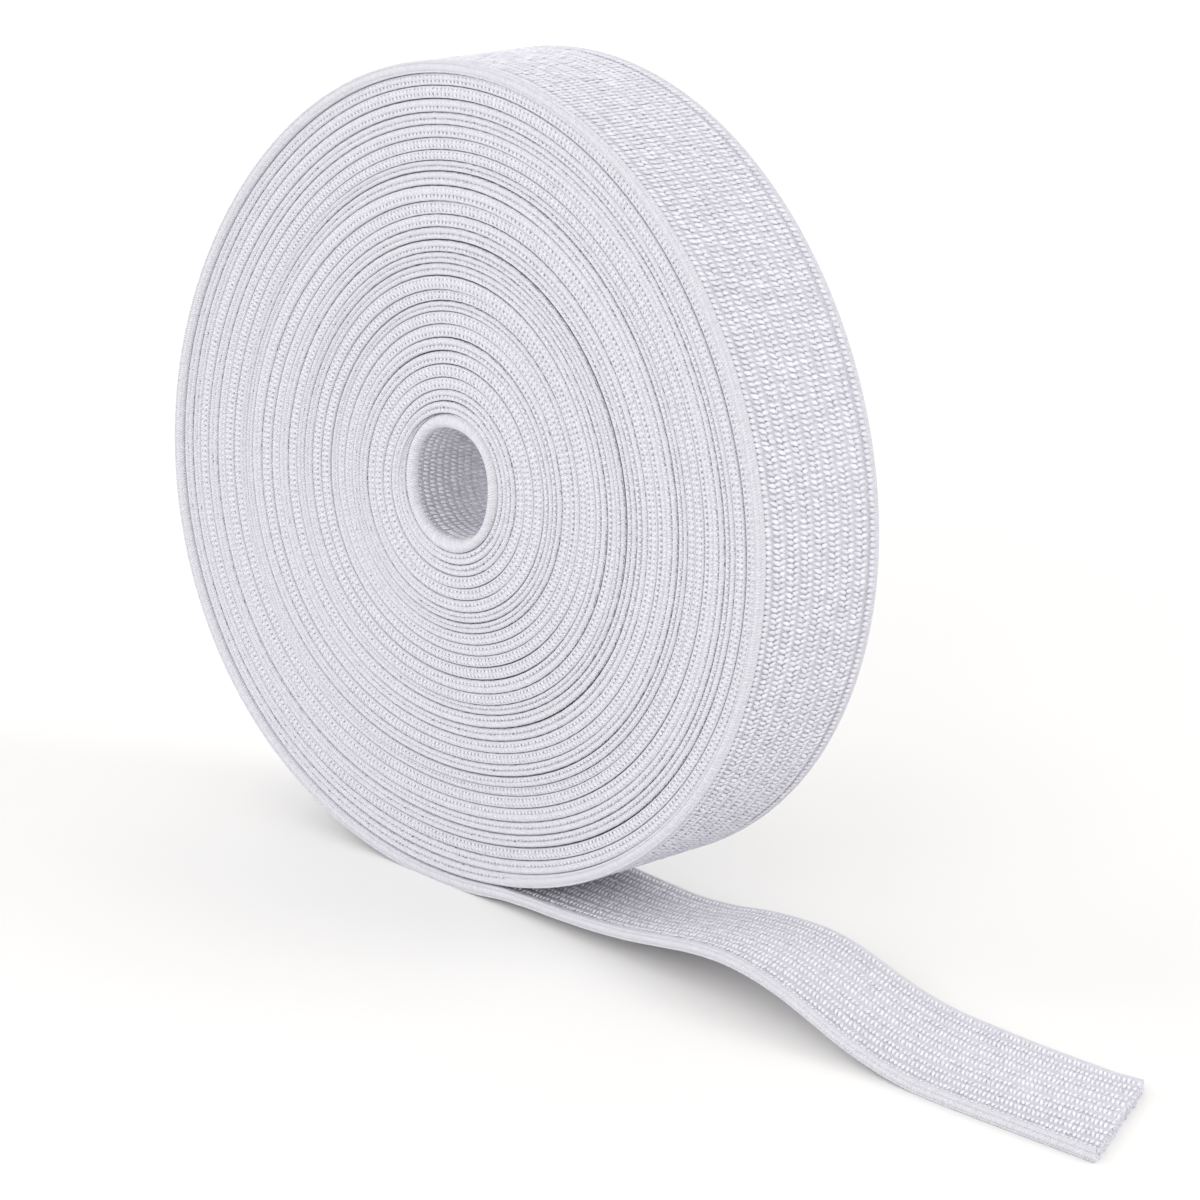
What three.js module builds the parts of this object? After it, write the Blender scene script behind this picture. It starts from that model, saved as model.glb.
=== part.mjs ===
// A roll of white knitted elastic. It stands on its rim, and its loose end runs out
// from underneath, arches up a little and lies down on the surface.
// Millimetres, +Z up. The origin is on the surface, under the middle of the roll.
// The roll's axis is along Y, and the face toward -Y is its front.

import * as THREE from 'three';

// the elastic, a flat ribbed strip with a smooth border along both edges
const stripWidth = 19;
const stripThickness = 1.4;
const edgeRound = 0.4;          // how far the strip's long edges are rounded off
const ribCount = 7;
const ribPitch = 2.4;
const ribFlat = 1.6;            // flat top of a rib
const ribDepth = 0.22;          // how deep the furrow between two ribs is

// the winding
const turnPitch = 1.45;         // from one turn to the next
const startRadius = 50;         // radius of the outermost turn where the loose end leaves
const holeRadius = 6.4;
const holeShift = { x: -0.33, z: 0.4 };
const twoLobe = { size: 0.9, at: 64.3 };      // out of round by hand winding, mm and degrees
const threeLobe = { size: 0.84, at: 62.3 };
const flatDepth = 0.25;         // how far the rim is pressed flat where it stands
const fitGap = 0.3;             // between the loose end and the roll

// where the loose end parts from the roll, degrees round the rim from the bottom
const leaveAngle = -10;
const lipWidth = 1.2;
const reliefFrom = 325;         // from here on the turn above it lifts off the loose end
const reliefDepth = 0.3;

// how finely the roll is divided
const stepsRound = 54;

// The flat faces: bands of turns that stand proud of their neighbours or behind them,
// with a gap in the winding after each. fraction is the way from the hole to the rim
// at which the gap runs, and back is how far the band inside it lies behind the
// outermost plane, mm.
const frontBands = [
  { fraction: 0.040, back: 0.10 },    // the innermost turn, a proud ring
  { fraction: 0.150, back: 0.75 },
  { fraction: 0.265, back: 0.45 },
  { fraction: 0.395, back: 0.70 },
  { fraction: 0.530, back: 0.35 },
  { fraction: 0.635, back: 0.65 },
  { fraction: 0.720, back: 0.35 },
  { fraction: 0.835, back: 0.60 },
  { fraction: 0.968, back: 0.40 },
];
const backBands = [
  { fraction: 0.040, back: 0.15 },
  { fraction: 0.170, back: 0.60 },
  { fraction: 0.290, back: 0.35 },
  { fraction: 0.410, back: 0.65 },
  { fraction: 0.520, back: 0.35 },
  { fraction: 0.640, back: 0.65 },
  { fraction: 0.760, back: 0.35 },
  { fraction: 0.870, back: 0.60 },
  { fraction: 0.968, back: 0.40 },
];
const gapWidth = 0.016;         // width of a gap as a part of the way
const gapDepth = 0.6;           // how far a gap lies behind the deeper band beside it
const sunkDepth = 0.8;          // the turn behind the outermost one sinks in on one side
const sunkAt = 262;             // and is deepest here, degrees
const sunkSpread = 75;

// The loose end, a row for each section: how far out it is, how high the edge toward
// the front and the far edge are lifted, and how far the strip has swung forward.
const looseSections = [
  { out: 8.80, nearLift: 0.46, farLift: 0.46, swing: 0.00 },
  { out: 14.0, nearLift: 1.15, farLift: 0.35, swing: 0.20 },
  { out: 20.0, nearLift: 1.50, farLift: 0.30, swing: 0.50 },
  { out: 26.0, nearLift: 2.00, farLift: 0.40, swing: 0.85 },
  { out: 32.0, nearLift: 2.75, farLift: 1.15, swing: 1.20 },
  { out: 38.0, nearLift: 3.85, farLift: 2.35, swing: 1.60 },
  { out: 43.0, nearLift: 4.75, farLift: 2.95, swing: 1.90 },
  { out: 48.0, nearLift: 5.20, farLift: 3.20, swing: 2.20 },
  { out: 52.0, nearLift: 5.05, farLift: 2.80, swing: 2.40 },
  { out: 57.0, nearLift: 4.30, farLift: 1.75, swing: 2.65 },
  { out: 62.0, nearLift: 3.05, farLift: 0.70, swing: 2.90 },
  { out: 67.0, nearLift: 1.65, farLift: 0.12, swing: 3.10 },
  { out: 72.0, nearLift: 0.65, farLift: 0.00, swing: 3.25 },
  { out: 78.0, nearLift: 0.00, farLift: 0.00, swing: 3.35 },
  { out: 84.0, nearLift: 0.00, farLift: 0.00, swing: 3.20 },
  { out: 90.0, nearLift: 0.00, farLift: 0.00, swing: 2.90 },
];
const endOut = 97.4;            // middle of the cut end
const endSwing = 2.2;
const cutSlant = 8.8;           // the far corner of the cut lies this much further in
const startLean = 0.36;         // the first section leans as the lip above it does

const whiteElastic = new THREE.MeshStandardMaterial({
  color: '#e2e1ea',
  roughness: 0.9,
  metalness: 0,
});

const radians = THREE.MathUtils.degToRad;

// a value that rises smoothly from 0 to 1 between two limits
function ease(value, from, to) {
  return THREE.MathUtils.smoothstep(value, from, to);
}

// radius of the rim at an angle from the bottom, clockwise seen from the front
function rimRadius(degrees) {
  const spiral = startRadius - turnPitch * degrees / 360;
  const oval = twoLobe.size * Math.cos(radians(2 * (degrees - twoLobe.at)));
  const lobes = threeLobe.size * Math.cos(radians(3 * (degrees - threeLobe.at)));
  const relief = reliefDepth * ease(degrees, reliefFrom, 360 + leaveAngle - lipWidth);
  return spiral + oval + lobes - relief;
}

const centreHeight = rimRadius(0) - flatDepth;

// a point at a radius and angle round the roll's centre, never below the surface
function rollPoint(degrees, radius, y, shift) {
  const x = -radius * Math.sin(radians(degrees)) + shift * holeShift.x;
  const z = centreHeight - radius * Math.cos(radians(degrees)) + shift * holeShift.z;
  return new THREE.Vector3(x, y, Math.max(z, 0));
}

// the ribs across the strip: pairs of a place across the width and a depth
function ribProfile() {
  const points = [];
  const firstRib = -(ribCount - 1) / 2 * ribPitch;
  for (let rib = 0; rib < ribCount; rib += 1) {
    const middle = firstRib + rib * ribPitch;
    points.push({ across: middle - ribPitch / 2, depth: ribDepth });
    points.push({ across: middle - ribFlat / 2, depth: 0 });
    points.push({ across: middle + ribFlat / 2, depth: 0 });
  }
  points.push({ across: firstRib + (ribCount - 0.5) * ribPitch, depth: ribDepth });
  return points;
}

// how far the turn behind the outermost one sinks in at an angle
function sunk(degrees) {
  const away = Math.abs(degrees - sunkAt);
  return sunkDepth * (1 - ease(away, 0, sunkSpread));
}

// one flat face from the hole to the rim: places along the way and how far back
function facePoints(bands, degrees) {
  const points = [{ way: 0, back: bands[0].back + edgeRound }];
  points.push({ way: gapWidth / 2, back: bands[0].back });
  const depths = bands.map((band) => band.back);
  depths[depths.length - 1] += sunk(degrees);
  bands.forEach(({ fraction }, index) => {
    const inside = depths[index];
    const outside = depths[index + 1] ?? 0;
    points.push({ way: fraction - gapWidth / 2, back: inside });
    points.push({ way: fraction, back: Math.max(inside, outside) + gapDepth });
    points.push({ way: fraction + gapWidth / 2, back: outside });
  });
  return points;
}

// the closed outline of the roll cut through at an angle: front face outward, across
// the ribbed rim, back face inward
function rollOutline(degrees) {
  const rim = rimRadius(degrees);
  const half = stripWidth / 2;
  const place = (way, y) => {
    const radius = THREE.MathUtils.lerp(holeRadius, rim, way);
    return rollPoint(degrees, radius, y, 1 - way);
  };
  const front = facePoints(frontBands, degrees).map(({ way, back }) => place(way, -half + back));
  const back = facePoints(backBands, degrees).map(({ way, back: depth }) => place(way, half - depth));
  const edge = edgeRound / rim;
  const rimLine = ribProfile().map(({ across, depth }) => {
    return rollPoint(degrees, rim - depth, across, 0);
  });
  return [
    ...front,
    place(1 - edge, -half),
    rollPoint(degrees, rim, -half + edgeRound, 0),
    ...rimLine,
    rollPoint(degrees, rim, half - edgeRound, 0),
    place(1 - edge, half),
    ...back.reverse(),
  ];
}

// a closed skin over outlines that all have the same number of points
function skin(outlines, closedRound) {
  const count = outlines[0].length;
  const positions = outlines.flat().flatMap((point) => point.toArray());
  const triangles = [];
  const spans = closedRound ? outlines.length : outlines.length - 1;
  for (let span = 0; span < spans; span += 1) {
    const here = span * count;
    const there = ((span + 1) % outlines.length) * count;
    for (let side = 0; side < count; side += 1) {
      const next = (side + 1) % count;
      triangles.push(here + side, there + side, there + next);
      triangles.push(here + side, there + next, here + next);
    }
  }
  if (!closedRound) {
    closeEnd(outlines[0], 0, triangles, false);
    closeEnd(outlines[outlines.length - 1], (outlines.length - 1) * count, triangles, true);
  }
  const geometry = new THREE.BufferGeometry();
  geometry.setAttribute('position', new THREE.Float32BufferAttribute(positions, 3));
  geometry.setIndex(triangles);
  return geometry;
}

// fills one end outline with triangles, looking along the strip
function closeEnd(outline, offset, triangles, outward) {
  const flat = outline.map((point) => new THREE.Vector2(point.y, point.z));
  THREE.ShapeUtils.triangulateShape(flat, []).forEach(([a, b, c]) => {
    const corners = outward ? [a, b, c] : [a, c, b];
    triangles.push(...corners.map((corner) => offset + corner));
  });
}

function makeRoll() {
  const outlines = [];
  const sweep = 360 - lipWidth;
  for (let step = 0; step <= stepsRound; step += 1) {
    outlines.push(rollOutline(leaveAngle + sweep * step / stepsRound));
  }
  return skin(outlines, true);
}

// the strip cut across: its ribbed top from the near edge to the far one, then its
// underside
function stripOutline() {
  const half = stripWidth / 2;
  const top = ribProfile().map(({ across, depth }) => {
    return { across, height: stripThickness - depth };
  });
  return [
    { across: -half, height: edgeRound },
    { across: -half, height: stripThickness - edgeRound },
    { across: -half + edgeRound, height: stripThickness },
    ...top,
    { across: half - edgeRound, height: stripThickness },
    { across: half, height: stripThickness - edgeRound },
    { across: half, height: edgeRound },
    { across: half - edgeRound, height: 0 },
    { across: -half + edgeRound, height: 0 },
  ];
}

function makeLooseEnd() {
  const outlines = looseSections.map(({ out, nearLift, farLift, swing }, index) => {
    const lean = index === 0 ? startLean : 0;
    return stripOutline().map(({ across, height }) => {
      const lift = THREE.MathUtils.lerp(nearLift, farLift, across / stripWidth + 0.5);
      return new THREE.Vector3(out + lean * height, across - swing, lift + height);
    });
  });
  outlines.push(stripOutline().map(({ across, height }) => {
    return new THREE.Vector3(endOut - cutSlant * across / stripWidth, across - endSwing, height);
  }));
  return skin(outlines, false);
}

const roll = new THREE.Mesh(makeRoll(), whiteElastic.clone());
roll.name = 'roll';

const looseEnd = new THREE.Mesh(makeLooseEnd(), whiteElastic.clone());
looseEnd.name = 'loose_end';

const group = new THREE.Group();
group.add(roll, looseEnd);

export default group;
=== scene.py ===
import math

import bmesh
import bpy
import numpy as np
from mathutils import Matrix, Vector


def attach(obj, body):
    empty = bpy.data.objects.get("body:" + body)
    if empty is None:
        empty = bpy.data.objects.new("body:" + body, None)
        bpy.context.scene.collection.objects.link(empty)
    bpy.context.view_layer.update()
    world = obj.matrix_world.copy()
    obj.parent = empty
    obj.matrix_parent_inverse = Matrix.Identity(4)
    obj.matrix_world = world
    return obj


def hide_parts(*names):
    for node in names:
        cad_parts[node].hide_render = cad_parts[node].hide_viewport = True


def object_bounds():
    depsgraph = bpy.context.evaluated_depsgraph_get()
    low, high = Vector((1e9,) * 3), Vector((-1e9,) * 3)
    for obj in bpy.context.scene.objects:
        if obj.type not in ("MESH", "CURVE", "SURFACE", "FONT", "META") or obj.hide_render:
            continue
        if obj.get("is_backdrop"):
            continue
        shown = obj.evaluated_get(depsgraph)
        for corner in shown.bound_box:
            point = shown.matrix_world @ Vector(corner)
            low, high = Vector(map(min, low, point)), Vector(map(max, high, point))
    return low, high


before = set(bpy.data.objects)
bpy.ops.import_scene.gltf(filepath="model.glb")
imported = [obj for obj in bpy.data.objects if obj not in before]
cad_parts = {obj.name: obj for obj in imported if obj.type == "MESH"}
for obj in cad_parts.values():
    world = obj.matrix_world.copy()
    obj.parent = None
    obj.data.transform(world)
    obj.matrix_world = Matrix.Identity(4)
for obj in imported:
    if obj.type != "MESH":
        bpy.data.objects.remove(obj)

# A roll of white knitted elastic standing on its rim, with its loose end on the table.
# Shapes are worked out in millimetres and made metres at the last step. The roll's axis
# is along Y, its front face is toward -Y, and the loose end runs out toward +X.

millimetre = 0.001
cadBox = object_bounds()

seeds = {"evenness": 7, "rimKnit": 11, "rimRidges": 12, "holeKnit": 13, "looseKnit": 21,
         "cutEnds": 22, "frontEdgeLoops": 31, "backEdgeLoops": 32}

# The view: a place in metres, two directions, and the lens and sensor in millimetres
camera = {
    "place": (0.355712, -0.342901, 0.185141),
    "forward": (-0.673482, 0.678614, -0.293096),
    "up": (-0.236260, 0.178094, 0.955230),
    "lens": 131.633,
    "sensor": 36.0,
}


def makeCamera():
    data = bpy.data.cameras.new("rollCamera")
    data.lens = camera["lens"]
    data.sensor_width = camera["sensor"]
    data.clip_start = 0.01
    data.clip_end = 20
    item = bpy.data.objects.new("rollCamera", data)
    bpy.context.scene.collection.objects.link(item)
    back = -Vector(camera["forward"]).normalized()
    side = Vector(camera["up"]).cross(back).normalized()
    upward = back.cross(side)
    turn = Matrix((side, upward, back)).transposed()
    item.matrix_world = Matrix.Translation(camera["place"]) @ turn.to_4x4()
    bpy.context.scene.camera = item


makeCamera()
print("camera ready")


def linear(hexColour):
    # an sRGB hex colour as linear values
    parts = [int(hexColour[i:i + 2], 16) / 255 for i in (1, 3, 5)]
    straight = [c / 12.92 if c <= 0.04045 else ((c + 0.055) / 1.055) ** 2.4 for c in parts]
    return (*straight, 1.0)


def addNode(tree, kind, settings=None, links=None):
    # settings are socket values or the node's own properties; links maps sockets to sources
    node = tree.nodes.new(kind)
    for key, value in (settings or {}).items():
        if key in node.inputs:
            node.inputs[key].default_value = value
        else:
            setattr(node, key, value)
    for key, source in (links or {}).items():
        tree.links.new(source, node.inputs[key])
    return node


def startMaterial(name):
    material = bpy.data.materials.new(name)
    material.use_nodes = True
    tree = material.node_tree
    tree.nodes.clear()
    output = addNode(tree, "ShaderNodeOutputMaterial")
    return material, tree, output


# The winding; degrees run from where the loose end leaves, round the roll and inward
winding = {
    "width": 19.0,
    "thickness": 1.36,              # the strip pressed in the roll
    "startRadius": 50.0,            # outermost turn, where the loose end leaves
    "ringRadius": 8.0,              # outside of the innermost turn
    "holeRadius": 6.43,
    "turns": 28.5,                  # wound on top of the innermost turn
    "holeShift": (-0.70, 0.40),     # the hole isn't quite in the middle
    "ringShift": (-0.80, 0.40),
    "holeOval": 0.20,               # the hole and the innermost turn are a little oval
    "ringOval": 0.30,
    "ovalAt": 12.0,
    "holeSquare": 0.15,             # and the hole is a little square
    "twoLobe": (0.90, 64.3),        # out of round by hand winding, size and degrees
    "threeLobe": (0.84, 62.3),
    "flatDepth": 0.25,              # how much of the rim is pressed flat where it stands
    "flatLayer": 0.004,             # there a point stays this part of its depth off the floor
    "leaveAngle": -10.0,
    "rimEnds": 351.5,               # the outermost turn shows its outer face up to here
    "gap": 0.030,                   # between two turns, as a part of a turn
    "gapMost": 0.6,                 # and never more than this part of the way to the next
    "tuckSpan": 150.0,              # degrees over which the tucked inner end lifts the next turn
    "tuckTurns": 7.0,               # turns over which that jog fades away outward
    "relief": (325.0, 348.8, 0.06), # drawn in over the loose end: from, to and how far
    "reliefFades": (353.0, 375.0),
    "sunk": (262.0, 80.0, 0.28),    # the second turn lies back: where, how far round, how deep
    "sunkTilt": 0.6,                # its inner side lies back less, by this part
}
turnPitch = (winding["startRadius"] - winding["ringRadius"]) / winding["turns"]
innerEnd = 360 * winding["turns"]
halfWidth = winding["width"] / 2

# How far each band of turns lies behind the front and back planes: the turn at which it
# ends, counted from the outside, and its depth
frontBands = [(1.0, 0.0), (4.9, 0.36), (8.3, 0.52), (10.8, 0.36), (13.9, 0.54), (17.9, 0.38),
              (21.8, 0.56), (25.2, 0.42), (29.0, 0.35)]
backBands = [(1.0, 0.0), (4.1, 0.40), (7.1, 0.60), (10.6, 0.35), (14.2, 0.65), (17.5, 0.35),
             (21.1, 0.65), (24.6, 0.35), (29.0, 0.60)]
# Where a turn lies looser, counted the same way, and how much wider its gap is
looseTurns = [(2.8, 0.05), (8.8, 0.04), (13.2, 0.03), (16.9, 0.04), (18.2, 0.05), (22.3, 0.05)]

# How the turns are packed: pressed together at the bottom by the roll's weight, looser and
# tighter in waves from turn to turn, and rippling a little sideways
packing = {
    "sag": 0.85,                # how far, where it is most
    "sagSpread": 38.0,          # degrees to each side of the bottom
    "sagComes": (8.0, 24.0),    # turns from the middle over which it sets in
    "sagGoes": (24.5, 28.5),    # and over which it goes again
    # size, turns to a wave, where it starts, and how much and where it sways round the roll
    "waves": [(0.10, 3.7, 0.6, 1.0, 0.0), (0.16, 6.3, 2.1, 0.8, 1.1),
              (0.20, 10.9, 4.0, 0.9, math.pi / 2)],
    "bandEasing": 0.2,          # turns to each side over which one band passes into the next
    "looseSpan": (0.1, 0.6),    # turns to each side over which a looser turn closes up
    "rippleComes": (1.0, 1.3),  # the outermost turn has no ripple
    # size, ripples to a turn and where they start
    "frontRipples": [(0.10, 0.93, 1.7), (0.08, 1.41, 0.3)],
    "backRipples": [(0.12, 1.13, 2.2)],
}


def ease(value, low, high):
    part = np.clip((value - low) / (high - low), 0, 1)
    return part * part * (3 - 2 * part)


def layersUnder(degreesLeft):
    # turns of strip between the innermost turn and the outside of this one; the tucked
    # end makes every turn over it step outward, less and less further out
    whole = np.floor(degreesLeft / 360)
    inTurn = degreesLeft - 360 * whole
    stepped = whole + ease(inTurn, 0, winding["tuckSpan"])
    even = degreesLeft / 360
    fade = ease(even, 1.0, winding["tuckTurns"])
    return np.where(degreesLeft <= 0, 0, stepped + (even - stepped) * fade)


def lobes(degrees):
    twoSize, twoAt = winding["twoLobe"]
    threeSize, threeAt = winding["threeLobe"]
    twoLobes = twoSize * np.cos(np.radians(2 * (degrees - twoAt)))
    return twoLobes + threeSize * np.cos(np.radians(3 * (degrees - threeAt)))


def oval(degrees):
    return np.cos(np.radians(2 * (degrees - winding["ovalAt"])))


def relief(degrees):
    start, end, depth = winding["relief"]
    return depth * ease(degrees, start, end) * (1 - ease(degrees, *winding["reliefFades"]))


def rimRadius(degrees):
    return winding["startRadius"] - turnPitch * degrees / 360 + lobes(degrees)


centreHeight = float(rimRadius(np.float64(0)) - winding["flatDepth"])


def unevenness(degrees, layers):
    # how far a turn lies off its even place, tighter below 0 and looser above
    share = np.clip(layers / winding["turns"], 0, 1)
    fromBottom = (degrees + 180) % 360 - 180
    sagging = ease(layers, *packing["sagComes"]) * (1 - ease(layers, *packing["sagGoes"]))
    sag = -packing["sag"] * np.exp(-(fromBottom / packing["sagSpread"]) ** 2) * sagging
    turn = np.radians(degrees)
    waves = np.zeros_like(sag)
    for size, turnsToWave, start, sway, swayAt in packing["waves"]:
        phase = 2 * np.pi * layers / turnsToWave + start + sway * np.sin(turn + swayAt)
        waves += size * np.sin(phase)
    halfway = 4 * share * (1 - share)       # 1 halfway out and 0 at the hole and the rim
    return sag + waves * halfway


def bandBack(bands, degrees):
    turns = degrees / 360
    back = np.zeros_like(turns)
    easing = packing["bandEasing"]
    for (end, here), (_, after) in zip(bands, bands[1:]):
        back += (after - here) * ease(turns, end - easing, end + easing)
    return back


def planes(degrees):
    # the front and back planes that the strip's edges reach at this point of the winding
    turn = np.radians(degrees)
    rippling = ease(degrees / 360, *packing["rippleComes"])
    back = []
    for bands, ripples in ((frontBands, packing["frontRipples"]), (backBands, packing["backRipples"])):
        ripple = sum(size * np.sin(turn * toTurn + start) for size, toTurn, start in ripples)
        back.append(np.maximum(bandBack(bands, degrees) + rippling * ripple, 0))
    return -halfWidth + back[0], halfWidth - back[1]


def woundPlace(degrees, across, depth):
    # a point of the flat strip, across its width and down from its outer face, once wound
    outer = layersUnder(innerEnd - degrees)
    inner = layersUnder(innerEnd - degrees - 360)
    gap = np.full_like(outer, winding["gap"])
    for turn, extra in looseTurns:
        gap += extra * (1 - ease(np.abs(degrees / 360 - turn), *packing["looseSpan"]))
    gap = np.minimum(gap, winding["gapMost"] * (outer - inner))
    layers = outer - (outer - inner - gap) * depth / winding["thickness"]
    radius = winding["ringRadius"] + turnPitch * layers
    share = (radius - winding["holeRadius"]) / (winding["startRadius"] - winding["holeRadius"])
    radius = radius + lobes(degrees) * share + unevenness(degrees, layers) - relief(degrees)
    radius = radius + winding["ringOval"] * oval(degrees) * (1 - share)
    shiftX, shiftZ = winding["ringShift"]
    turn = np.radians(degrees)
    x = -radius * np.sin(turn) + shiftX * (1 - share)
    z = centreHeight - radius * np.cos(turn) + shiftZ * (1 - share)
    front, back = planes(degrees)
    sunkPlace, sunkSpan, sunkDeep = winding["sunk"]
    sunk = 1 - ease(np.abs(degrees - 360 - sunkPlace), 0, sunkSpan)
    front = front + sunkDeep * sunk * (1 - winding["sunkTilt"] * depth / winding["thickness"])
    y = front + (across + halfWidth) / winding["width"] * (back - front)
    pressed = np.maximum(z, winding["flatLayer"] * depth)
    return np.stack([x, y, pressed], -1)


def ringPlace(degrees, across, depth):
    # the innermost turn, a closed ring; depth is counted outward from the hole's wall
    outward = depth / (winding["ringRadius"] - winding["holeRadius"])
    turn = np.radians(degrees)
    hole = winding["holeOval"] * np.cos(2 * turn) - winding["holeSquare"] * np.cos(4 * turn)
    squeeze = hole + (winding["ringOval"] * oval(degrees) - hole) * outward
    radius = winding["holeRadius"] + depth + squeeze
    shiftX, shiftZ = [holeShift + (ringShift - holeShift) * outward
                      for holeShift, ringShift in zip(winding["holeShift"], winding["ringShift"])]
    x = -radius * np.sin(turn) + shiftX
    z = centreHeight - radius * np.cos(turn) + shiftZ
    return np.stack([x, across, z], -1)


# The loose end, in millimetres out from under the roll's middle
looseEnd = {
    "thickness": 1.38,
    "startOut": 8.80,             # where it parts from the roll
    "endSwing": (2.90, 2.20),     # at the last full section and at the cut
    "lastSection": 90.0,
    "cutMiddle": 97.4,
    "cutSlant": 8.8,              # the far corner of the cut lies this much further in
    "startRadius": 48.6,          # it leaves on this curve
    "straightens": 5.0,           # and takes its own course over this much
    "cover": 0.20,                # the body lies this far under its stitches
    "step": 0.7,                  # between two columns of the body
    "endSteps": 12,               # columns from the last full section to the cut
    "knitLength": 95.0,           # length of the stitched rows, cut to the slant
    "knitStops": 0.10,            # before the cut
}

# out, lift of the edge toward the front, lift of the far edge, swing to the front
looseSections = [
    (8.80, 0.46, 0.46, 0.00), (14.0, 1.15, 0.35, 0.20), (20.0, 1.50, 0.30, 0.50),
    (26.0, 2.00, 0.40, 0.85), (32.0, 2.75, 1.15, 1.20), (38.0, 3.85, 2.35, 1.60),
    (43.0, 4.75, 2.95, 1.90), (48.0, 5.20, 3.20, 2.20), (52.0, 5.05, 2.80, 2.40),
    (57.0, 4.30, 1.75, 2.65), (62.0, 3.05, 0.70, 2.90), (67.0, 1.65, 0.12, 3.10),
    (72.0, 0.65, 0.00, 3.25), (78.0, 0.00, 0.00, 3.35), (84.0, 0.00, 0.00, 3.20),
    (90.0, 0.00, 0.00, 2.90),
]


def throughRows(out, column):
    # a smooth curve through one column of the sections
    stations = np.array([row[0] for row in looseSections])
    values = np.array([row[column] for row in looseSections])
    slopes = np.gradient(values, stations)
    slopes[0] = (values[1] - values[0]) / (stations[1] - stations[0])
    index = np.clip(np.searchsorted(stations, out) - 1, 0, len(stations) - 2)
    span = stations[index + 1] - stations[index]
    t = np.clip((out - stations[index]) / span, 0, 1)
    startRise = slopes[index] * span * (t ** 3 - 2 * t ** 2 + t)
    endRise = slopes[index + 1] * span * (t ** 3 - t ** 2)
    level = values[index] * (2 * t ** 3 - 3 * t ** 2 + 1) + values[index + 1] * (3 * t ** 2 - 2 * t ** 3)
    return level + startRise + endRise


def cutOut(across):
    return looseEnd["cutMiddle"] - looseEnd["cutSlant"] * across / winding["width"]


def loosePlace(out, across, height):
    # a point of the flat strip, across its width and up from its underside, as it lies;
    # over the first few millimetres it goes on from the wound part's own curve
    near = np.maximum(throughRows(out, 1), 0)
    far = np.maximum(throughRows(out, 2), 0)
    part = across / winding["width"] + 0.5
    lift = near + (far - near) * part
    toCut = np.clip((out - looseEnd["lastSection"]) / (cutOut(across) - looseEnd["lastSection"]), 0, 1)
    swingBefore, swingAtCut = looseEnd["endSwing"]
    swing = np.where(out > looseEnd["lastSection"],
                     swingBefore + (swingAtCut - swingBefore) * toCut, throughRows(out, 3))
    lying = np.stack([out, across - swing, lift + height], -1)
    past = out - looseEnd["startOut"]
    degrees = winding["leaveAngle"] - np.degrees(past / looseEnd["startRadius"])
    depth = winding["thickness"] * height / looseEnd["thickness"]
    curved = woundPlace(degrees, across, depth)
    leftRoll = ease(past, 0, looseEnd["straightens"])[..., None]
    return curved + (lying - curved) * leftRoll


# One edge of the strip's body cut across, from its inner face round to its outer face: how
# far in from the edge and how far down from the outer face each point lies, first where the
# edge shows two rows of loops with a furrow between them, then where it is one round border
# with a thin ridge along each corner. The first and last rows lie under the stitches.
edgeSection = [
    {"looped": (1.00, 1.000), "smooth": (1.00, 1.000)},
    {"looped": (0.86, 1.000), "smooth": (0.86, 1.000)},
    {"looped": (0.42, 0.985), "smooth": (0.42, 0.998)},
    {"looped": (0.18, 0.915), "smooth": (0.22, 0.975)},
    {"looped": (0.07, 0.810), "smooth": (0.10, 0.920)},
    {"looped": (0.08, 0.710), "smooth": (0.09, 0.850)},
    {"looped": (0.20, 0.600), "smooth": (0.22, 0.775)},
    {"looped": (0.40, 0.500), "smooth": (0.07, 0.680)},
    {"looped": (0.20, 0.400), "smooth": (0.00, 0.500)},
    {"looped": (0.08, 0.290), "smooth": (0.07, 0.320)},
    {"looped": (0.07, 0.190), "smooth": (0.22, 0.225)},
    {"looped": (0.18, 0.085), "smooth": (0.09, 0.150)},
    {"looped": (0.42, 0.015), "smooth": (0.10, 0.080)},
    {"looped": (0.50, 0.000), "smooth": (0.22, 0.025)},
    {"looped": (0.58, 0.000), "smooth": (0.50, 0.000)},
    {"looped": (0.88, 0.000), "smooth": (0.88, 0.000)},
]


def sectionColumns():
    # for every point of the section its side, both insets, both depths, and whether it lies
    # on one of the stitched faces
    points = [(*row["looped"], *row["smooth"]) for row in edgeSection]
    last = len(points) - 1
    front = [(-1, *point, index == 0, index == last) for index, point in enumerate(points)]
    back = [(1, *row[1:]) for row in reversed(front)]
    rows = np.array(front + back, float)
    keys = ("side", "loopedInset", "loopedDepth", "smoothInset", "smoothDepth",
            "onInnerFace", "onOuterFace")
    return {key: rows[:, index] for index, key in enumerate(keys)}


section = sectionColumns()
sides = len(section["side"])


def sectionDistances():
    # how far round the section each row lies; the last distance closes on the first row
    across = section["side"] * (halfWidth - section["smoothInset"])
    high = section["smoothDepth"] * winding["thickness"]
    closed = np.stack([np.append(across, across[0]), np.append(high, high[0])], -1)
    steps = np.linalg.norm(np.diff(closed, axis=0), axis=1)
    return np.concatenate([[0], np.cumsum(steps)])


distances = sectionDistances()


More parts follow.
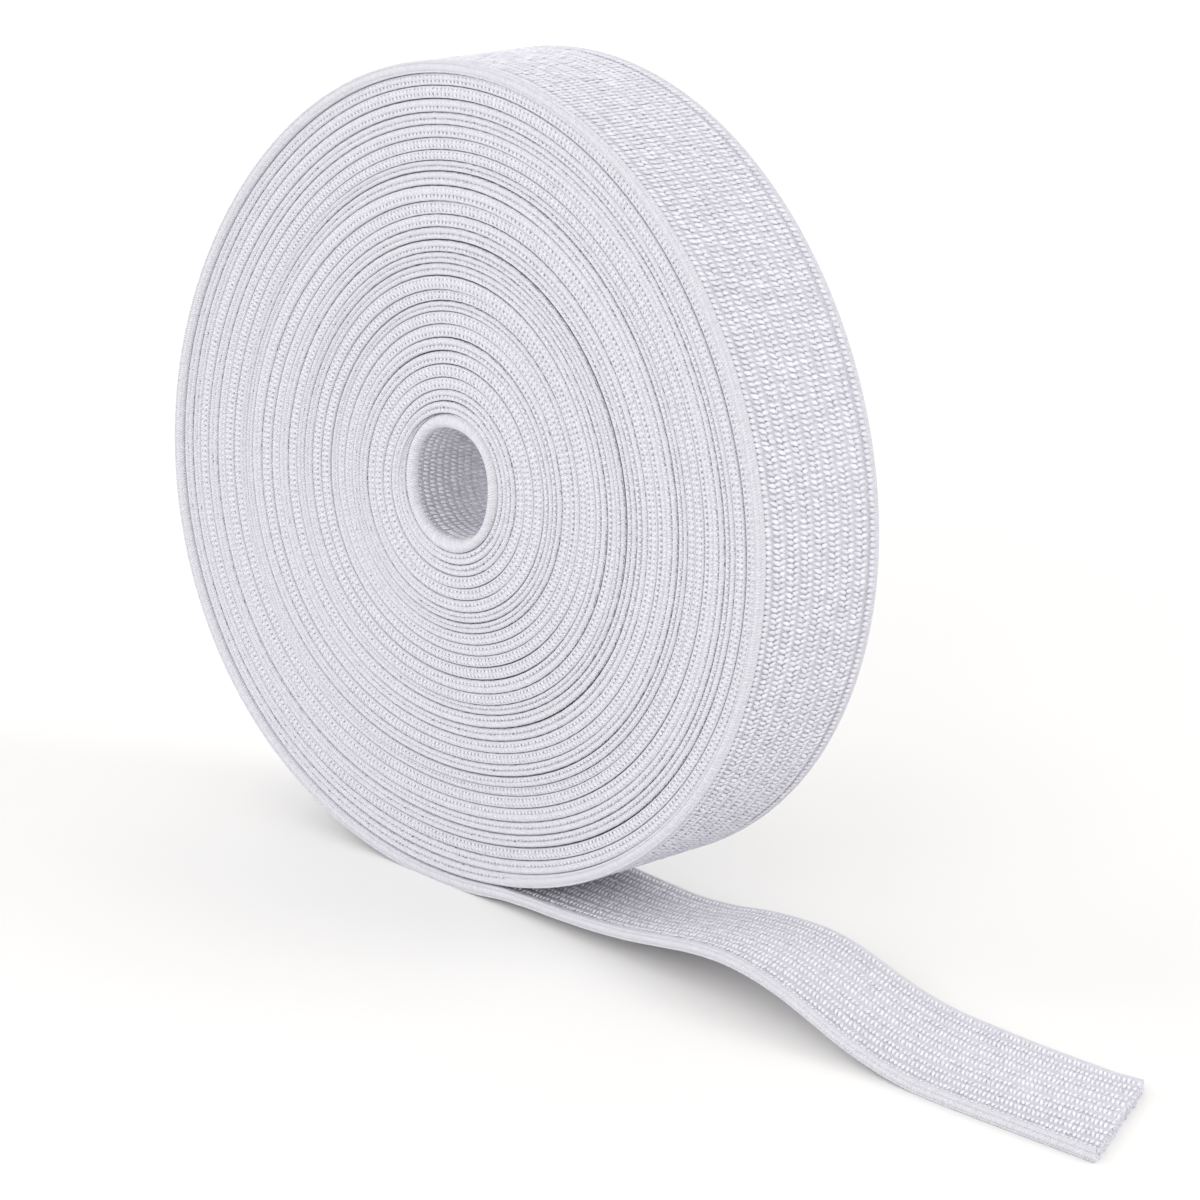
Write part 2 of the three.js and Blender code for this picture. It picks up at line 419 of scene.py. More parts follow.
def flatStrip(name, stations):
    # a flat grid, one column for each station and one row for each side of the section,
    # its last row lying on the first once it is bent round
    bm = bmesh.new()
    spread = Matrix.Diagonal(((stations - 1) / 2, sides / 2, 1, 1))
    bmesh.ops.create_grid(bm, x_segments=stations - 1, y_segments=sides, size=1,
                          matrix=Matrix.Translation(((stations - 1) / 2, sides / 2, 0)) @ spread)
    mesh = bpy.data.meshes.new(name)
    bm.to_mesh(mesh)
    bm.free()
    flat = np.empty(len(mesh.vertices) * 3)
    mesh.vertices.foreach_get("co", flat)
    flat = np.rint(flat.reshape(-1, 3)).astype(int)
    return mesh, flat[:, 0], flat[:, 1]


def addStripMap(mesh, along, around):
    # the UV map runs along the strip and round its section, in millimetres
    layer = mesh.uv_layers.new(name="strip")
    corner = np.empty(len(mesh.loops), int)
    mesh.loops.foreach_get("vertex_index", corner)
    layer.data.foreach_set("uv", np.stack([along[corner], around[corner]], -1).ravel())


def closeStrip(mesh, closedRound=False):
    bm = bmesh.new()
    bm.from_mesh(mesh)
    bmesh.ops.remove_doubles(bm, verts=bm.verts, dist=1e-7)
    for face in bm.faces:
        face.smooth = True
    if not closedRound:
        rims = [edge for edge in bm.edges if edge.is_boundary]
        for edge in rims:
            edge.smooth = False
        bmesh.ops.holes_fill(bm, edges=rims, sides=0)
    bmesh.ops.recalc_face_normals(bm, faces=bm.faces)
    bm.to_mesh(mesh)
    bm.free()


def finishPiece(mesh, material):
    mesh.materials.append(material)
    piece = bpy.data.objects.new(mesh.name, mesh)
    bpy.context.scene.collection.objects.link(piece)
    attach(piece, "root")
    return piece


woundStrip = {
    "stationStep": 2.2,       # mm along the strip
    "widestStep": 5.0,        # degrees, on the small inner turns
    "cover": 0.25,            # the body lies this far under its stitches
    "smoothUntil": 335.0,     # degrees of the outermost turn with a smooth border
    "smoothFades": 25.0,
    "underLoops": 0.08,       # an even edge lies this far under its loops
    "wander": 155.0,          # degrees between one look of the edge and the next
    "looks": (0.25, 0.75),    # a random number below or above these makes it clear or even
    "leastEven": 0.1,
    "evenMore": 0.8,          # how much more even the most even edge is
}


def roughRadius(degrees):
    # of the middle of the strip's thickness, leaving out what is uneven
    return winding["ringRadius"] + turnPitch * (winding["turns"] - degrees / 360 - 0.5)


def woundStations():
    stations = [winding["leaveAngle"]]
    while stations[-1] < innerEnd:
        byLength = math.degrees(woundStrip["stationStep"] / roughRadius(stations[-1]))
        stations.append(stations[-1] + min(byLength, woundStrip["widestStep"]))
    stations[-1] = innerEnd
    return np.array(stations)


def lengthTable():
    # how many millimetres of strip are wound up to each degree
    degrees = np.arange(winding["leaveAngle"], innerEnd + 1, 1.0)
    steps = np.radians(1.0) * roughRadius(degrees[:-1])
    return degrees, np.concatenate([[0], np.cumsum(steps)])


tableDegrees, tableLengths = lengthTable()


def evenness(degrees):
    # nearly 0 where a turn's edge shows two clear rows of loops, and 1 where the loops
    # lie so close that the edge is one bulge; it wanders from turn to turn
    random = np.random.default_rng(seeds["evenness"])
    knots = random.random(int(innerEnd / woundStrip["wander"]) + 3)
    drawn = np.interp(degrees / woundStrip["wander"] + 1, np.arange(len(knots)), knots)
    return woundStrip["leastEven"] + woundStrip["evenMore"] * ease(drawn, *woundStrip["looks"])


def makeWoundElastic(material):
    stations = woundStations()
    mesh, column, row = flatStrip("woundElastic", len(stations))
    around = distances[row]
    point = {key: values[row % sides] for key, values in section.items()}
    degrees = stations[column]
    smoothEnd = woundStrip["smoothUntil"] + woundStrip["smoothFades"]
    outermost = 1 - ease(degrees, woundStrip["smoothUntil"], smoothEnd)
    even = np.maximum(evenness(degrees), outermost)
    underLoops = woundStrip["underLoops"] * (1 - outermost)
    inset = point["loopedInset"] + (point["smoothInset"] + underLoops - point["loopedInset"]) * even
    depth = point["loopedDepth"] + (point["smoothDepth"] - point["loopedDepth"]) * even
    across = point["side"] * (halfWidth - inset)
    down = depth * winding["thickness"] + woundStrip["cover"] * point["onOuterFace"]
    place = woundPlace(degrees, across, down)
    mesh.vertices.foreach_set("co", (place * millimetre).ravel())
    along = np.interp(degrees, tableDegrees, tableLengths)
    addStripMap(mesh, along, around)
    closeStrip(mesh)
    piece = finishPiece(mesh, material)
    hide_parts("roll")


# The ball that each knit stitch is drawn out from
knitStitch = {"segments": 6, "rings": 3, "blunt": 0.6}


def stitchShape(segments, rings, blunt=1.0):
    # a ball of radius 1, which each stitch then stretches to its half sizes; blunt below 1
    # gives it fuller ends
    bm = bmesh.new()
    bmesh.ops.create_uvsphere(bm, u_segments=segments, v_segments=rings, radius=1)
    bmesh.ops.triangulate(bm, faces=bm.faces)
    bm.verts.ensure_lookup_table()
    points = np.array([vert.co for vert in bm.verts])
    points[:, 0] = np.sign(points[:, 0]) * np.abs(points[:, 0]) ** blunt
    faces = np.array([[vert.index for vert in face.verts] for face in bm.faces])
    bm.free()
    return points, faces


def joinStitches(name, shape, places, shade, material):
    # places holds every stitch's own points, already laid on the strip
    points, faces = shape
    count = len(places)
    allFaces = (faces[None] + len(points) * np.arange(count)[:, None, None]).reshape(-1, 3)
    mesh = bpy.data.meshes.new(name)
    mesh.from_pydata((places.reshape(-1, 3) * millimetre).tolist(), [], allFaces.tolist())
    tint = mesh.attributes.new("yarnShade", "FLOAT", "POINT")
    tint.data.foreach_set("value", np.repeat(shade, len(points)))
    mesh.polygons.foreach_set("use_smooth", np.ones(len(mesh.polygons), bool))
    mesh.update()
    finishPiece(mesh, material)


# The two faces of the strip are knitted differently, in ribs of two rows each
outerFace = {
    "pitch": 0.645,           # along the strip
    "ribPitch": 2.20,
    "ribCount": 7,
    "shift": 0.0,
    "shade": 0.15,            # painted light and shade: lighter above 0, darker below, set for how bright this face looks under the lamps
    "widest": 8.0,            # no row lies nearer the edges than this
    "rowOffset": 0.50,
    "halfLong": 0.64,
    "halfWide": 0.285,
    "halfThick": 0.14,
    "slant": 14.0,            # degrees from straight across
    "slantApart": 10.0,       # the two rows of a rib differ by twice this
    "taper": 0.36,            # wider where two rows meet on a rib, narrower in the furrow
    "furrow": 0.13,           # the ends that meet between two ribs dip this much more
    "dipFrom": -0.2,          # from here on a stitch, -1 on its rib and 1 in the furrow
    "shadeUntil": 8.2,        # painted shade lies on the ground between two ribs, up to here
}
innerFace = dict(outerFace, pitch=0.585, ribPitch=2.82, shift=0.47, shade=0.9, widest=8.75,
                 rowOffset=0.64, halfLong=0.64, halfWide=0.225, halfThick=0.12,
                 slant=-27.0, slantApart=0.0, taper=0.15, furrow=0.10)
# painted shade: the stitches inside the hole are made darker
holeFace = dict(innerFace, pitch=0.52, ribPitch=2.20, ribCount=9, shift=0.0, shade=-0.6,
                rowOffset=0.55, halfLong=0.56, halfWide=0.23, slant=-14.0, furrow=0.05)

# How much one stitch differs from the next
stitchSpread = {"along": 0.035, "across": 0.035, "turn": 5.0, "size": 0.07, "height": 0.02,
                "shade": 0.7}


def knitRows(knit):
    # where each row lies across the strip, and which side of its rib it is
    rows = []
    for rib in range(knit["ribCount"]):
        middle = knit["shift"] + (rib - (knit["ribCount"] - 1) / 2) * knit["ribPitch"]
        rows += [(middle + way * knit["rowOffset"], way) for way in (-1, 1)]
    return [(across, way) for across, way in rows if abs(across) <= knit["widest"]]


def laidStitches(points, along, across, half, slant, wideShare=1.0):
    # every stitch's own points, turned and moved to its place on the flat strip
    long = points[None, :, 0] * half[0]
    wide = points[None, :, 1] * half[1] * wideShare
    rowLong = along[:, None] + long * np.sin(slant) + wide * np.cos(slant)
    rowWide = across[:, None] + long * np.cos(slant) - wide * np.sin(slant)
    return rowLong, rowWide, points[None, :, 2] * half[2]


def layKnit(shape, knit, start, length, place, seed, keep=None):
    # lays the rows of a knitted face; place takes a length, a place across and a height,
    # and keep says which stitches stay
    random = np.random.default_rng(seed)
    points, _ = shape
    count = int(length / knit["pitch"])
    laid, shades = [], []
    for rowAcross, way in knitRows(knit):
        along = start + (np.arange(count) + 0.5) * knit["pitch"]
        along = along + random.normal(0, stitchSpread["along"], count)
        across = rowAcross + random.normal(0, stitchSpread["across"], count)
        shade = random.normal(knit["shade"], stitchSpread["shade"], count)
        if keep is not None:
            kept = keep(along, across)
            along, across, shade = along[kept], across[kept], shade[kept]
        slant = knit["slant"] - way * knit["slantApart"]
        slant = slant + random.normal(0, stitchSpread["turn"], (len(along), 1))
        size = 1 + random.normal(0, stitchSpread["size"], (3, len(along), 1))
        half = [knit[key] * part for key, part in zip(("halfLong", "halfWide", "halfThick"), size)]
        toFurrow = way * points[None, :, 0]
        rowLong, rowWide, thick = laidStitches(points, along, across, half, np.radians(slant),
                                               1 - knit["taper"] * toFurrow)
        dip = knit["furrow"] * ease(toFurrow, knit["dipFrom"], 1.0)
        high = random.normal(0, stitchSpread["height"], (len(along), 1))
        laid.append(place(rowLong, rowWide, thick - knit["halfThick"] + high - dip))
        shades.append(shade)
    return laid, shades


ridgeRow = {
    "at": 8.38,
    "half": (0.56, 0.33, 0.14),   # long, wide and thick
    "slant": 16.0,
    "shade": -0.3,
    "spread": {"along": 0.03, "across": 0.015, "turn": 5.0, "height": 0.01, "shade": 0.6},
}


def layRidges(shape, start, length, place, seed):
    # the short row of stitches beside each border of the outer face
    random = np.random.default_rng(seed)
    points, _ = shape
    count = int(length / outerFace["pitch"])
    spread = ridgeRow["spread"]
    laid, shades = [], []
    for side in (-1, 1):
        along = start + (np.arange(count) + 0.5) * outerFace["pitch"]
        along = along + random.normal(0, spread["along"], count)
        across = side * ridgeRow["at"] + random.normal(0, spread["across"], count)
        slant = np.radians(ridgeRow["slant"] + random.normal(0, spread["turn"], (count, 1)))
        rowLong, rowWide, thick = laidStitches(points, along, across, ridgeRow["half"], slant)
        high = random.normal(0, spread["height"], (count, 1)) - ridgeRow["half"][2]
        laid.append(place(rowLong, rowWide, thick + high))
        shades.append(random.normal(ridgeRow["shade"], spread["shade"], count))
    return laid, shades


def turnDegrees(length):
    return np.interp(length, tableLengths, tableDegrees)


def makeRimKnit(material):
    shape = stitchShape(**knitStitch)
    length = float(np.interp(winding["rimEnds"], tableDegrees, tableLengths))

    def place(along, across, height):
        return woundPlace(turnDegrees(along), across, -height)

    knit, knitShades = layKnit(shape, outerFace, 0.0, length, place, seeds["rimKnit"])
    ridge, ridgeShades = layRidges(shape, 0.0, length, place, seeds["rimRidges"])
    places = np.concatenate(knit + ridge)
    shades = np.concatenate(knitShades + ridgeShades)
    joinStitches("rimKnit", shape, places, shades, material)


def makeHoleKnit(material):
    shape = stitchShape(**knitStitch)
    count = round(2 * math.pi * winding["holeRadius"] / holeFace["pitch"])
    length = (count + 0.01) * holeFace["pitch"]     # a hair over, so that no stitch is lost

    def place(along, across, height):
        return ringPlace(along * 360 / length, across, -height)

    knit, shades = layKnit(shape, holeFace, 0.0, length, place, seeds["holeKnit"])
    joinStitches("holeKnit", shape, np.concatenate(knit), np.concatenate(shades),
                 material)


# Each turn's edge shows two rows of loops, or one bulge of slanting yarns
edgeLoops = {
    # where each row lies, as a part of the strip's thickness
    "rows": [{"at": 0.26, "evenAt": 0.30, "slant": 12.0},
             {"at": 0.74, "evenAt": 0.70, "slant": -12.0}],
    "pitch": 0.645,
    "startsAfter": 12.0,          # degrees past the smooth border
    "endsBefore": 3.0,            # mm before the inner end
    "halfLong": (0.39, 0.44),     # with two clear rows, and where the edge is even
    "halfWide": (0.37, 0.33),
    "halfThick": (0.09, 0.08),
    "taper": 0.40,                # narrower toward the furrow between the two rows
    "evenTaper": 0.6,             # so much of that is lost where the edge is even
    "evenSlant": 30.0,
    "roundRow": 0.27,             # how far the sides of a row curve back
    "rowHalf": 0.25,              # and half its height, as a part of the strip's thickness
    "roundEdge": 0.30,            # the same for an even edge
    "edgeHalf": 0.5,
    "overEdge": 0.02,             # a loop reaches at most this part past the thickness
    "sink": 0.02,                 # a loop's top lies this far under the edge
    # painted shade: the loops on the turns' front and back edges are made darker
    "shade": -0.9,
    "spread": {"along": 0.03, "deep": 0.012, "turn": 5.0, "size": 0.07, "shade": 0.35},
}
edgeStitch = {"segments": 6, "rings": 2, "blunt": 0.7}


def makeEdgeLoops(name, side, material):
    # the loops that wrap round one edge of every turn but the smooth outermost one
    random = np.random.default_rng(seeds[name])
    shape = stitchShape(**edgeStitch)
    points, _ = shape
    startDegrees = woundStrip["smoothUntil"] + edgeLoops["startsAfter"]
    start = float(np.interp(startDegrees, tableDegrees, tableLengths))
    along = np.arange(start, tableLengths[-1] - edgeLoops["endsBefore"], edgeLoops["pitch"])
    count = len(along)
    even = evenness(turnDegrees(along))[:, None]
    spread = edgeLoops["spread"]
    laid, shades = [], []
    for row in edgeLoops["rows"]:
        centre = along + random.normal(0, spread["along"], count)
        deep = row["at"] + (row["evenAt"] - row["at"]) * even
        deep = deep + random.normal(0, spread["deep"], (count, 1))
        slant = row["slant"] + (edgeLoops["evenSlant"] - row["slant"]) * even
        slant = np.radians(slant + random.normal(0, spread["turn"], (count, 1)))
        half = []
        for key in ("halfLong", "halfWide", "halfThick"):
            clear, evened = edgeLoops[key]
            size = 1 + random.normal(0, spread["size"], (count, 1))
            half.append((clear + (evened - clear) * even) * size)
        toFurrow = points[None, :, 0] * (1 if row["at"] < 0.5 else -1)
        narrowing = 1 - edgeLoops["taper"] * toFurrow * (1 - edgeLoops["evenTaper"] * even)
        alongAll, downAll, thick = laidStitches(points, centre, deep[:, 0] * winding["thickness"],
                                                half, slant, narrowing)
        part = np.clip(downAll / winding["thickness"], -edgeLoops["overEdge"], 1 + edgeLoops["overEdge"])
        roundRow = edgeLoops["roundRow"] * ((part - deep) / edgeLoops["rowHalf"]) ** 2
        roundEdge = edgeLoops["roundEdge"] * ((part - 0.5) / edgeLoops["edgeHalf"]) ** 2
        curve = roundRow + (roundEdge - roundRow) * even
        across = side * (halfWidth - (half[2] + edgeLoops["sink"] - thick + curve))
        laid.append(woundPlace(turnDegrees(alongAll), across, part * winding["thickness"]))
        shades.append(random.normal(edgeLoops["shade"], spread["shade"], count))
    joinStitches(name, shape, np.concatenate(laid), np.concatenate(shades), material)


innerTurn = {
    "thickness": 1.54,
    "steps": 96,
    "mapStep": 0.47,          # mm of the strip's map to a step
    "back": 0.16,             # its edges lie this far behind those of the turns round it
    "roundness": 0.62,        # how far a plain round edge curves back
    "outerRoundness": 1.3,    # times that on the side of the other turns
    "holeRoundness": 1.4,     # and where the edge rolls into the hole
    "faceInset": 0.45,        # points further in than this lie on the two faces
    "cover": 0.15,            # the body lies this far under its stitches
}


def makeInnerTurn(material):
    # the innermost turn closes on itself, so it shows as one plain ring
    mesh, column, row = flatStrip("innerTurn", innerTurn["steps"] + 1)
    around = distances[row]
    point = {key: values[row % sides] for key, values in section.items()}
    degrees = column % innerTurn["steps"] * 360 / innerTurn["steps"]
    depth = point["smoothDepth"]
    roundness = np.where(depth > 0.5, innerTurn["holeRoundness"], innerTurn["outerRoundness"])
    plain = np.clip(np.abs(depth - 0.5) * 2, 0, 1)
    ball = innerTurn["roundness"] * (1 - np.sqrt(np.clip(1 - plain ** 2, 0, 1)))
    onFace = point["smoothInset"] > innerTurn["faceInset"]
    inset = np.where(onFace, point["smoothInset"], ball * roundness)
    across = point["side"] * (halfWidth - innerTurn["back"] - inset)
    deep = (1 - depth) * innerTurn["thickness"] + innerTurn["cover"] * point["onInnerFace"]
    place = ringPlace(degrees, across, deep)
    mesh.vertices.foreach_set("co", (place * millimetre).ravel())
    addStripMap(mesh, column * innerTurn["mapStep"], around)
    closeStrip(mesh, closedRound=True)
    finishPiece(mesh, material)


def makeLooseEnd(material):
    whole = np.arange(looseEnd["startOut"], looseEnd["lastSection"], looseEnd["step"])
    endSteps = looseEnd["endSteps"]
    mesh, column, row = flatStrip("looseEnd", len(whole) + endSteps + 1)
    around = distances[row]
    point = {key: values[row % sides] for key, values in section.items()}
    across = point["side"] * (halfWidth - point["smoothInset"])
    toCut = np.clip((column - len(whole)) / endSteps, 0, 1)
    out = np.where(column < len(whole), whole[np.minimum(column, len(whole) - 1)],
                   looseEnd["lastSection"] + toCut * (cutOut(across) - looseEnd["lastSection"]))
    height = point["smoothDepth"] * looseEnd["thickness"] - looseEnd["cover"] * point["onInnerFace"]
    place = loosePlace(out, across, height)
    mesh.vertices.foreach_set("co", (place * millimetre).ravel())
    addStripMap(mesh, out, around)
    closeStrip(mesh)
    piece = finishPiece(mesh, material)
    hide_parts("loose_end")


cutEnds = {
    "levels": (0.28, 0.66, 1.04),     # heights of the rows of yarn ends
    "across": (-8.9, 9.0),
    "pitch": 0.46,
    "half": (0.20, 0.27, 0.21),       # half sizes across, out and up
    "lowest": 0.02,
    "shade": -0.5,
    "spread": {"across": 0.08, "size": 0.15, "sway": 0.25, "out": 0.06, "height": 0.05,
               "shade": 0.8},
    "stitch": {"segments": 6, "rings": 3},
}


def layCutEnds(shape, seed):
    # the ends of the cut yarns, standing a little out of the cut
    random = np.random.default_rng(seed)
    points, _ = shape
    spread = cutEnds["spread"]
    laid = []
    for level in cutEnds["levels"]:
        across = np.arange(*cutEnds["across"], cutEnds["pitch"])
        count = len(across)
        across = across + random.normal(0, spread["across"], count)
        size = 1 + random.normal(0, spread["size"], (3, count, 1))
        half = np.array(cutEnds["half"])[:, None, None] * size
        sway = random.normal(0, spread["sway"], (count, 1))
        wide, long, thick = (points[None, :, axis] * half[axis] for axis in range(3))
        out = cutOut(across)[:, None] + random.normal(0.0, spread["out"], (count, 1)) + long
        height = level + random.normal(0, spread["height"], (count, 1)) + thick
        height = np.maximum(height, cutEnds["lowest"])
        laid.append(loosePlace(out, across[:, None] + wide + sway * long, height))
    return laid, [random.normal(cutEnds["shade"], spread["shade"], len(part)) for part in laid]


def makeLooseKnit(material):
    shape = stitchShape(**knitStitch)
    start = looseEnd["startOut"]

    def place(along, across, height):
        return loosePlace(along, across, looseEnd["thickness"] + height)

    def keep(along, across):
        return along < cutOut(across) - looseEnd["knitStops"]

    knit, knitShades = layKnit(shape, innerFace, start, looseEnd["knitLength"], place,
                               seeds["looseKnit"], keep)
    ends, endShades = layCutEnds(stitchShape(**cutEnds["stitch"]), seeds["cutEnds"])
    places = np.concatenate(knit + ends)
    shades = np.concatenate(knitShades + endShades)
    joinStitches("looseKnit", shape, places, shades, material)


# Both materials; lengths in millimetres
yarn = {
    "light": "#f3f2f8",
    "dark": "#d9d8e1",
    "shadeReach": 2.0,        # a stitch's shade that gives the lightest or the darkest yarn
    "ground": "#e6e5ec",
    # painted shade: a darker colour in the furrows of the hatch, where yarns lie side by side
    "paintedHatchShade": "#d2d1d9",
    # painted shade: the ground's colour where two ribs meet
    "paintedShadeBetweenRibs": "#d8d7df",
    "roughness": 0.62,
    "groundRoughness": 0.68,
    "sheen": 0.12,
    "fuzz": 0.09,             # height of the filaments that stand out of the yarn
    "stitchFuzz": (1.0, 0.26),    # its strength and its grain
    "groundFuzz": (0.6, 0.22),
    "hatchPitch": 0.335,      # along the strip, two yarns to a stitch
    "hatchDepth": 0.08,
    "hatchSlant": 0.35,       # along the strip for each millimetre round it
    "hatchWander": 0.5,       # how far the lines stray, by a noise of this many to a mm
    "wanderScale": 1.1,
    "hatchLight": (0.3, 0.6),     # the hatch furrows' share of the light colour, and the ridges' more; the rest is painted shade
}


def addFuzz(tree, strength, grain):
    # fine filaments standing out of the yarn, too fine to be meshes, as bump in metres
    where = addNode(tree, "ShaderNodeTexCoord")
    noise = addNode(tree, "ShaderNodeTexNoise",
                    {"Scale": 1 / (grain * millimetre), "Detail": 2.0, "Roughness": 0.6},
                    {"Vector": where.outputs["Object"]})
    return addNode(tree, "ShaderNodeBump", {"Strength": strength, "Distance": yarn["fuzz"] * millimetre},
                   {"Height": noise.outputs["Fac"]})


def mixColours(tree, factor, first, second):
    # the colour sockets of a Mix node are its seventh and eighth, and the third that it gives
    node = addNode(tree, "ShaderNodeMix", {"data_type": "RGBA"})
    tree.links.new(factor, node.inputs["Factor"])
    for socket, colour in zip((node.inputs[6], node.inputs[7]), (first, second)):
        if isinstance(colour, tuple):
            socket.default_value = colour
        else:
            tree.links.new(colour, socket)
    return node.outputs[2]


def texturedPolyester():
    # texturised polyester yarn, knitted and soft: matt, faintly lustrous, each stitch a
    # little lighter or darker than the next, and each face's stitches painted lighter or darker for the
    # light that falls there
    material, tree, output = startMaterial("texturedPolyesterYarn")
    shade = addNode(tree, "ShaderNodeAttribute", {"attribute_name": "yarnShade"})
    part = addNode(tree, "ShaderNodeMapRange",
                   {"From Min": -yarn["shadeReach"], "From Max": yarn["shadeReach"]},
                   {"Value": shade.outputs["Fac"]})
    colour = mixColours(tree, part.outputs["Result"], linear(yarn["dark"]), linear(yarn["light"]))
    fuzz = addFuzz(tree, *yarn["stitchFuzz"])
    shader = addNode(tree, "ShaderNodeBsdfPrincipled",
                     {"Roughness": yarn["roughness"], "Sheen Weight": yarn["sheen"],
                      "Sheen Roughness": 0.5},
                     {"Base Color": colour, "Normal": fuzz.outputs["Normal"]})
    tree.links.new(shader.outputs["BSDF"], output.inputs["Surface"])
    return material


def addMath(tree, operation, first, second=None):
    # first and second are numbers or sockets
    node = addNode(tree, "ShaderNodeMath", {"operation": operation})
    for socket, value in zip(node.inputs, (first, second)):
        if isinstance(value, (int, float)):
            socket.default_value = value
        elif value is not None:
            tree.links.new(value, socket)
    return node.outputs["Value"]


def paintedShadeBetweenRibs(tree, around, knit, ribAt):
    # where the painted shade between ribs goes: 1 where two ribs of a face meet, 0 on the ribs and past
    # the last of them
    offset = addMath(tree, "SUBTRACT", around, ribAt)
    wave = addMath(tree, "COSINE", addMath(tree, "MULTIPLY", offset, 2 * math.pi / knit["ribPitch"]))
    low = addMath(tree, "MAXIMUM", addMath(tree, "MULTIPLY", wave, -1.0), 0.0)
    inside = addMath(tree, "LESS_THAN", addMath(tree, "ABSOLUTE", offset), knit["shadeUntil"])
    return addMath(tree, "MULTIPLY", low, inside)


def knittedGround(name, knit, ribAt):
    # the same yarn knitted closely over rubber threads: matt, with fine slanting lines where
    # yarns lie side by side, painted shade in the furrows of those lines and painted shade
    # between the ribs; ribAt is how far round the section one rib of the face lies
    material, tree, output = startMaterial(name)
    strip = addNode(tree, "ShaderNodeUVMap", {"uv_map": "strip"})
    part = addNode(tree, "ShaderNodeSeparateXYZ", None, {"Vector": strip.outputs["UV"]})
    along, around = part.outputs["X"], part.outputs["Y"]
    wander = addNode(tree, "ShaderNodeTexNoise", {"Scale": yarn["wanderScale"], "Detail": 2.0},
                     {"Vector": strip.outputs["UV"]})
    slanted = addMath(tree, "ADD", along, addMath(tree, "MULTIPLY", around, yarn["hatchSlant"]))
    swayed = addMath(tree, "MULTIPLY", wander.outputs["Fac"], yarn["hatchWander"])
    wavy = addMath(tree, "ADD", slanted, swayed)
    wave = addMath(tree, "SINE", addMath(tree, "MULTIPLY", wavy, 2 * math.pi / yarn["hatchPitch"]))
    ridge = addMath(tree, "ADD", addMath(tree, "MULTIPLY", wave, 0.5), 0.5)
    leastLight, moreLight = yarn["hatchLight"]
    light = addMath(tree, "ADD", addMath(tree, "MULTIPLY", ridge, moreLight), leastLight)
    # painted shade: the hatch furrows take the darker colour
    hatched = mixColours(tree, light, linear(yarn["paintedHatchShade"]), linear(yarn["ground"]))
    colour = mixColours(tree, paintedShadeBetweenRibs(tree, around, knit, ribAt), hatched,
                        linear(yarn["paintedShadeBetweenRibs"]))
    fuzz = addFuzz(tree, *yarn["groundFuzz"])
    hatch = addNode(tree, "ShaderNodeBump",
                    {"Strength": 1.0, "Distance": yarn["hatchDepth"] * millimetre},
                    {"Height": ridge, "Normal": fuzz.outputs["Normal"]})
    shader = addNode(tree, "ShaderNodeBsdfPrincipled",
                     {"Roughness": yarn["groundRoughness"], "Sheen Weight": yarn["sheen"]},
                     {"Base Color": colour, "Normal": hatch.outputs["Normal"]})
    tree.links.new(shader.outputs["BSDF"], output.inputs["Surface"])
    return material


paleFloor = {"colour": "#f6f5f3", "halfSize": 4.0}


def makeStage():
    # a sheet of matt white paper, which takes the soft shadows
    bm = bmesh.new()
    bmesh.ops.create_grid(bm, x_segments=2, y_segments=2, size=paleFloor["halfSize"])
    mesh = bpy.data.meshes.new("paleFloor")
    bm.to_mesh(mesh)
    bm.free()
    material, tree, output = startMaterial("mattWhitePaper")
    shader = addNode(tree, "ShaderNodeBsdfPrincipled",
                     {"Base Color": linear(paleFloor["colour"]), "Roughness": 0.9,
                      "Specular IOR Level": 0.1})
    tree.links.new(shader.outputs["BSDF"], output.inputs["Surface"])
    mesh.materials.append(material)
    floor = bpy.data.objects.new("paleFloor", mesh)
    bpy.context.scene.collection.objects.link(floor)
    floor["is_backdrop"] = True


# A pale room and broad soft lamps all round, as in a light tent, with one of them for the
# floor behind the roll; places in metres, energy in watts
roomLight = 0.76
rollMiddle = (0, 0, 0.04)
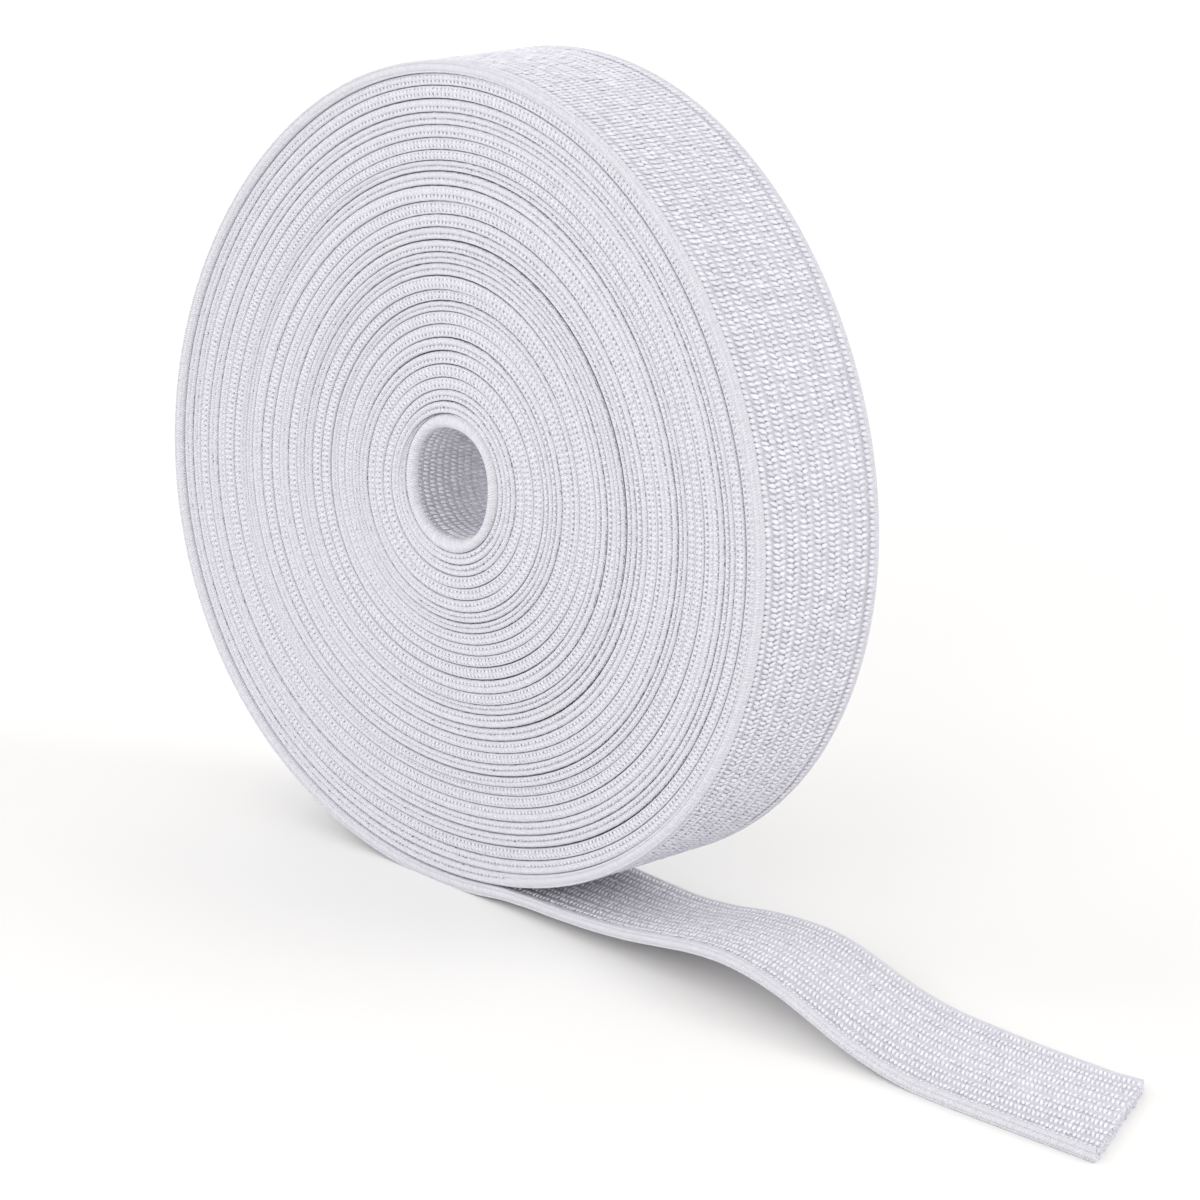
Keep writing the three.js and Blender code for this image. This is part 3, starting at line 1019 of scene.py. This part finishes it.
softboxes = [
    {"name": "frontSoftbox", "place": (0.30, -0.85, 0.40), "size": 0.6, "energy": 2.4},
    {"name": "leftSoftbox", "place": (-0.65, -0.45, 0.50), "size": 0.7, "energy": 2.1},
    {"name": "rightSoftbox", "place": (0.75, -0.38, 0.38), "size": 0.5, "energy": 0.5},
    {"name": "backSoftbox", "place": (0.60, 0.45, 0.60), "size": 0.6, "energy": 2.0},
    {"name": "floorSoftbox", "place": (-0.55, 0.55, 0.45), "aim": (-0.45, 0.45, 0.0),
     "size": 0.8, "energy": 1.2},
]


def makeLight():
    world = bpy.data.worlds.new("paleStudio")
    world.use_nodes = True
    background = world.node_tree.nodes["Background"]
    background.inputs["Color"].default_value = (1, 1, 1, 1)
    background.inputs["Strength"].default_value = roomLight
    bpy.context.scene.world = world
    for box in softboxes:
        lamp = bpy.data.lights.new(box["name"], "AREA")
        lamp.size = box["size"]
        lamp.energy = box["energy"]
        item = bpy.data.objects.new(box["name"], lamp)
        item.location = box["place"]
        aim = Vector(box.get("aim", rollMiddle)) - item.location
        item.rotation_euler = aim.to_track_quat("-Z", "Y").to_euler()
        bpy.context.scene.collection.objects.link(item)


bpy.context.scene.view_settings.view_transform = "Standard"
makeStage()
makeLight()
print("stage and light ready")

# How far round the section the middles of the outer and the inner face lie
outerMiddle = (distances[sides // 2 - 1] + distances[sides // 2]) / 2
innerMiddle = (distances[sides - 1] + distances[sides]) / 2
stitchYarn = texturedPolyester()
ground = knittedGround("knittedPolyesterGround", outerFace, outerMiddle)
looseGround = knittedGround("knittedPolyesterInnerFace", innerFace, innerMiddle - innerFace["shift"])
makeWoundElastic(ground)
print("wound strip ready")
makeInnerTurn(ground)
makeRimKnit(stitchYarn)
makeHoleKnit(stitchYarn)
makeEdgeLoops("frontEdgeLoops", -1, stitchYarn)
makeEdgeLoops("backEdgeLoops", 1, stitchYarn)
print("stitches of the roll ready")
makeLooseEnd(looseGround)
makeLooseKnit(stitchYarn)
print("loose end ready")

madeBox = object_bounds()
boxes = {"cad": cadBox, "visual": madeBox}
{name: [list(corner) for corner in box] for name, box in boxes.items()}
